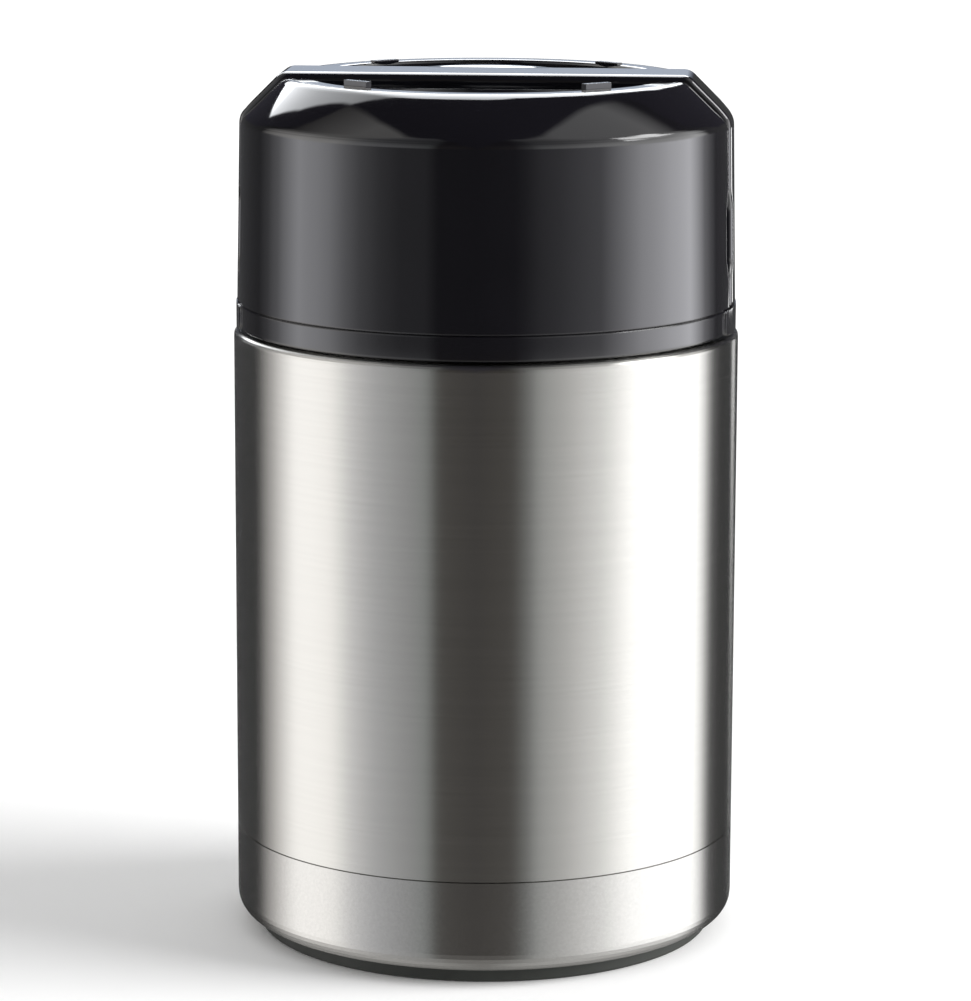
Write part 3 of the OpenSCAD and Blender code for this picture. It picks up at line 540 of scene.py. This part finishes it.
def bareMetal(name, colour, roughness, grain, depth):
    # Cast, sintered or drawn metal left as made: a grain of its own size, mottled and not polished.
    material, tree, shader = newMaterial(name, Metallic=1.0)
    place = addNode(tree, "ShaderNodeTexCoord").outputs["Object"]
    speck = addNode(tree, "ShaderNodeTexNoise", Vector=place, Scale=1000 / grain, Detail=4.0).outputs[0]
    tint = addNode(tree, "ShaderNodeValToRGB", Fac=speck)
    setRamp(tint, varied(colour, 0.7, 1.0))
    rough = addNode(tree, "ShaderNodeMapRange", _0=speck, **noiseSpan, _3=roughness + 0.08,
                    _4=roughness - 0.08)
    bump = addNode(tree, "ShaderNodeBump", Strength=0.5, Distance=depth * mm, Height=speck)
    connect(tree, shader, Base_Color=tint.outputs[0], Roughness=rough.outputs[0], Normal=bump.outputs[0])
    return material


bodySteel = brushedSteel(steelLook)
linerSteel = polishedSteel(steelLook)
lidGloss = glossBlack("black ABS high gloss", lidLook["shell"], lidLook, True, 0.05, lidLook["edge"])
panelGloss = glossBlack("black ABS gloss panel", lidLook["panel"], lidLook, False, 0.08,
                        lidLook["fineEdge"], lidLook["feetLow"])
handleGloss = glossBlack("black ABS gloss handle", lidLook["handle"], lidLook, False, 0.06, lidLook["edge"])
blackPlastic = mouldedPlastic("black polypropylene", "#19191c", 0.5, 0.45)
silicone = softRubber("white silicone", "#d9d9d4", 0.5, 0.3)
finishes = {
    "outer_shell": bodySteel,
    "base_cup": satinSteel(steelLook),
    "inner_liner": linerSteel,
    "vacuum_plate": linerSteel,
    "sealing_bead": bareMetal("glass solder bead", "#8d8f92", 0.35, 0.6, 0.05),
    "getter_pellet": bareMetal("sintered getter", "#5b5f63", 0.70, 0.2, 0.04),
    "foot_ring": softRubber("dark thermoplastic rubber", "#383a37", 0.62, 0.0),
    "stopper_body": mouldedPlastic("grey polypropylene", "#4b4c50", 0.5, 0.42),
    "stopper_cover": blackPlastic,
    # the foam's second colour is painted shade in its cells' hollows
    "stopper_foam": openFoam(0.6, "#e2dac2", "#9c9378"),
    "mouth_gasket": silicone,
    "vent_valve": silicone,
    "vent_button": mouldedPlastic("light grey acetal", "#9a9a9d", 0.4, 0.30),
    "vent_spring": bareMetal("drawn spring steel", "#b4b5b8", 0.22, 0.15, 0.01),
    "lid_shell": lidGloss,
    "lid_collar": lidGloss,
    "lid_liner": blackPlastic,
    "top_panel": panelGloss,
    "handle": handleGloss,
    "guide_pin_left": bareMetal("turned pin steel", "#b0b0b3", 0.28, 0.12, 0.005),
}
finishes["guide_pin_right"] = finishes["guide_pin_left"]
for name, node in cadNodes.items():
    node.data.materials.clear()
    node.data.materials.append(finishes[name])
print("stage: materials")


handleShape = {
    # In mm. R is the distance from the axis along X, Z the height.
    "armFootR": 49.3, "armFootZ": 127.3,      # outer face of an arm at its foot
    "armTopR": 48.6, "armTopZ": 163.5,
    "bevel": 8.8, "topZ": 172.3,
    "outerRound": 3.2,
    "innerR": 46.8, "innerBevel": 7.394, "underZ": 169.3, "innerRound": 3.0,
    "counts": (34, 8, 7, 8, 60),              # points of the half top, its bend, the slope, its bend, the arm
    "halfWidth": 8.0,
    "waistHalf": 5.8, "waistLow": 136.5, "waistHigh": 146.5, "waistRun": 4.0,
    "edge": 1.3, "edgeShare": 0.45,           # round of the outer edges, and its most of the thickness
    "innerEdge": 0.35, "innerEdgeShare": 0.3,
    "edgePoints": 6, "flatPoints": 12, "dishPoints": 6, "flatShares": (0.08, 0.92),
    "bowRise": 2.5, "bowRun": 3.0,            # above its top, an arm's curve round the lid runs out
    "tabLength": 24.0, "tabOut": 5.7, "tabThick": 2.0, "tabLeast": 0.05, "topSlack": 0.01,
    "dishBack": 1.5, "dishFrom": 0.7,         # before the strap's rear edge: the dish's points, its fall
    "tabDish": 0.0965, "dishDeepest": 0.2,    # slope of the dish for the thumb, share at which it is deepest
    "tongueHalf": 3.0, "tongueIn": 46.8, "tongueOut": 48.2, "tongueLow": 122.8,
    "tongueSides": 32, "tongueRound": 0.25,   # power of its rounded rectangle
    "tongueUp": 0.6,                          # how far it reaches up into the arm
    "tongueTip": [(0.4, 1.0), (0.1, 0.93), (0.0, 0.8)],       # height over its end and share of its width
}


def smooth(share):
    # Level at both ends: 3 share squared - 2 share cubed.
    return share * share * (3 - 2 * share)


def roundedLine(corners, radius, counts):
    # Walks along corners: straight runs, with an arc of the given radius tangent to both sides at each inner
    # corner. counts are the points of each run and each arc in turn.
    corners = np.array(corners, dtype=float)
    ahead = np.diff(corners, axis=0)
    ahead /= np.linalg.norm(ahead, axis=1)[:, None]
    here, pieces = corners[0], []
    for k in range(1, len(corners) - 1):
        turn = math.acos(np.dot(ahead[k - 1], ahead[k]))
        back = radius * math.tan(turn / 2)
        enter = corners[k] - ahead[k - 1] * back
        run = np.linspace(0, 1, counts[2 * k - 2], endpoint=False)[:, None]
        pieces.append(here + (enter - here) * run)
        side = ahead[k] - ahead[k - 1] * np.dot(ahead[k - 1], ahead[k])
        side /= np.linalg.norm(side)
        angle = np.linspace(0, turn, counts[2 * k - 1], endpoint=False)[:, None]
        pieces.append(enter + radius * (np.sin(angle) * ahead[k - 1] + (1 - np.cos(angle)) * side))
        here = corners[k] + ahead[k] * back
    pieces.append(here + (corners[-1] - here) * np.linspace(0, 1, counts[-1])[:, None])
    return np.concatenate(pieces)


def handleGrid(shape):
    # A section carried along the strap. Each station has an outer and an inner point in X and Z. The
    # section's points go across in Y, and below the outer point towards the inner one. Its edges are quarter
    # rounds. Arms follow the lid's wall: x = outer - (R - sqrt(R^2 - y^2)). The width narrows at the waist.
    # Behind the middle, the section grows by the arc of the thumb tab and its top is a shallow dish.
    s = shape
    outer = roundedLine([(0, s["topZ"]), (s["armTopR"] - s["bevel"], s["topZ"]), (s["armTopR"], s["armTopZ"]),
                         (s["armFootR"], s["armFootZ"])], s["outerRound"], s["counts"])
    slopeEnd = s["underZ"] - s["innerBevel"]
    inner = roundedLine([(0, s["underZ"]), (s["innerR"] - s["innerBevel"], s["underZ"]),
                         (s["innerR"], slopeEnd), (s["innerR"], s["armFootZ"])], s["innerRound"], s["counts"])
    outer, inner = [np.concatenate([line[:0:-1] * (-1, 1), line]) for line in (outer, inner)]
    x, z = outer[:, 0], outer[:, 1]
    thick = np.linalg.norm(outer - inner, axis=1)

    waist = smooth(np.interp(z, [s["waistLow"] - s["waistRun"], s["waistLow"], s["waistHigh"],
                                 s["waistHigh"] + s["waistRun"]], [0, 1, 1, 0]))
    half = s["halfWidth"] - (s["halfWidth"] - s["waistHalf"]) * waist
    tabR = ((s["tabLength"] / 2) ** 2 + s["tabOut"] ** 2) / (2 * s["tabOut"])
    onTop = z > s["topZ"] - s["topSlack"]
    arc = np.sqrt(np.clip(tabR ** 2 - x ** 2, 0, None)) - (tabR - s["tabOut"])
    tab = np.where(onTop, np.clip(arc, 0, None), 0)
    rear = half + tab

    e = np.minimum(s["edge"], thick * s["edgeShare"])
    f = np.minimum(s["innerEdge"], thick * s["innerEdgeShare"])
    low = np.where(tab > s["tabLeast"], s["tabThick"], thick)
    level = 0 * z
    flat = half - s["dishBack"]
    dish = np.clip(rear - e - (half - s["dishFrom"]), 0, None) * s["tabDish"]
    quarter = np.linspace(0, math.pi / 2, s["edgePoints"])
    section = []                                             # across and below, both in mm
    for t in quarter:                                        # front outer edge
        section.append((-half + e - e * np.cos(t), e - e * np.sin(t)))
    for share in np.linspace(*s["flatShares"], s["flatPoints"]):             # the flat, as far as the dish
        section.append((-half + e + (half - e + flat) * share, level))
    deepest = s["dishDeepest"]
    for share in np.linspace(0, 1, s["dishPoints"]):         # the dish, or the rest of the flat
        deep = min(1, share / deepest) * (1 - max(0, share - deepest) / (1 - deepest))
        section.append((flat + (rear - e - flat) * share, dish * deep))
    for t in quarter[1:]:                                    # rear outer edge
        section.append((rear - e + e * np.sin(t), e - e * np.cos(t)))
    for t in quarter:                                        # rear lower edge, of the tab where there is one
        section.append((rear - f + f * np.cos(t), low - f + f * np.sin(t)))
    section.append((half + f, low + level))
    for t in quarter:                                        # step down to the strap
        section.append((half - f + f * np.cos(t), thick - f + f * np.sin(t)))
    for t in quarter:                                        # front inner edge
        section.append((-half + f - f * np.sin(t), thick - f + f * np.cos(t)))
    across, below = np.moveaxis(np.array(section), 0, -1)

    share = below / thick[:, None]
    place = outer[:, None, :] + (inner - outer)[:, None, :] * share[..., None]
    bow = s["armFootR"] - np.sqrt(s["armFootR"] ** 2 - across ** 2)
    onArm = np.clip((s["armTopZ"] + s["bowRise"] - z) / s["bowRun"], 0, 1)[:, None]
    bowedX = place[..., 0] - np.sign(x)[:, None] * bow * onArm * (1 - np.clip(share, 0, 1))
    return np.stack([bowedX, across, place[..., 1]], axis=-1)


def tongueGrid(shape, side):
    # A rounded rectangle in X and Y, carried straight down in Z and narrowed at its lower end. Each of its
    # sides is half * sign(c) * |c|^power, with c the cosine in X and the sine in Y.
    s = shape
    angle = np.linspace(0, 2 * math.pi, s["tongueSides"], endpoint=False)
    rounded = [np.sign(c) * np.abs(c) ** s["tongueRound"] for c in (np.cos(angle), np.sin(angle))]
    tipRise, tipShare = np.array(s["tongueTip"]).T
    heights = np.concatenate([[s["armFootZ"] + s["tongueUp"], s["armFootZ"]], s["tongueLow"] + tipRise])
    narrow = np.concatenate([[1, 1], tipShare])[:, None]
    middle, half = side * (s["tongueIn"] + s["tongueOut"]) / 2, (s["tongueOut"] - s["tongueIn"]) / 2
    return np.stack([middle + half * rounded[0] * narrow, s["tongueHalf"] * rounded[1] * narrow,
                     heights[:, None] + 0 * angle], axis=-1)


def makeHandle(shape, material):
    # The strap and its two tongues, as one piece in place of the solid handle.
    points, faces, start = [], [], 0
    for grid in (handleGrid(shape), tongueGrid(shape, 1), tongueGrid(shape, -1)):
        faces += tubeFaces(*grid.shape[:2], start)
        points.append(grid.reshape(-1, 3))
        start += grid.shape[0] * grid.shape[1]
    piece = newPiece("carry_handle", np.concatenate(points), faces, material, "handle")
    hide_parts("handle")


makeHandle(handleShape, handleGloss)
print("stage: handle")


threads = {
    # In mm. wall: radius that the ridge stands on. ridge: its height, outwards where it is positive.
    "neck_thread": {"wall": 40.9, "ridge": 0.95, "low": 124.2, "pitch": 5.0, "turns": 1.7, "width": 2.0,
                    "start": 20},
    "lid_thread": {"wall": 42.3, "ridge": -0.95, "low": 126.7, "pitch": 5.0, "turns": 1.4, "width": 2.0,
                   "start": 20},
    "stopper_thread": {"wall": 37.9, "ridge": 0.45, "low": 123.5, "pitch": 4.0, "turns": 2.2, "width": 1.6,
                       "start": 200},
    # Section of a ridge, from its lower foot to its upper one: (height, offset) as shares.
    "section": [(-0.25, -0.5), (0.0, -0.5), (0.55, -0.34), (0.9, -0.24), (1.0, 0.0), (0.9, 0.24),
                (0.55, 0.34), (0.0, 0.5), (-0.25, 0.5)],
    "steps": 120,            # to a turn
    "fade": 12,              # part of a turn over which a ridge grows and sinks again
}


def helixRidge(name, material, body):
    # A low trapezoid carried up a right-handed helix: radius = wall + height, z = low + pitch * turn +
    # offset. It rises out of the wall and sinks back into it over a twelfth of a turn.
    setup = threads[name]
    turn = np.linspace(0, setup["turns"], int(setup["turns"] * threads["steps"]) + 1)
    grow = smooth(np.clip(np.minimum(turn, setup["turns"] - turn) * threads["fade"], 0, 1))
    height, offset = np.array(threads["section"]).T
    radius = setup["wall"] + setup["ridge"] * height * np.where(height > 0, grow[:, None], 1)
    angle = math.radians(setup["start"]) + 2 * math.pi * turn[:, None] + 0 * height
    rise = setup["low"] + setup["pitch"] * turn[:, None] + offset * setup["width"]
    grid = np.stack([radius * np.cos(angle), radius * np.sin(angle), rise], axis=-1)
    newPiece(name, grid.reshape(-1, 3), tubeFaces(*grid.shape[:2]), material, body)


helixRidge("neck_thread", bodySteel, "jar")
helixRidge("lid_thread", blackPlastic, "lid")
helixRidge("stopper_thread", finishes["stopper_body"], "stopper")
print("stage: threads")

print("stage: finish")
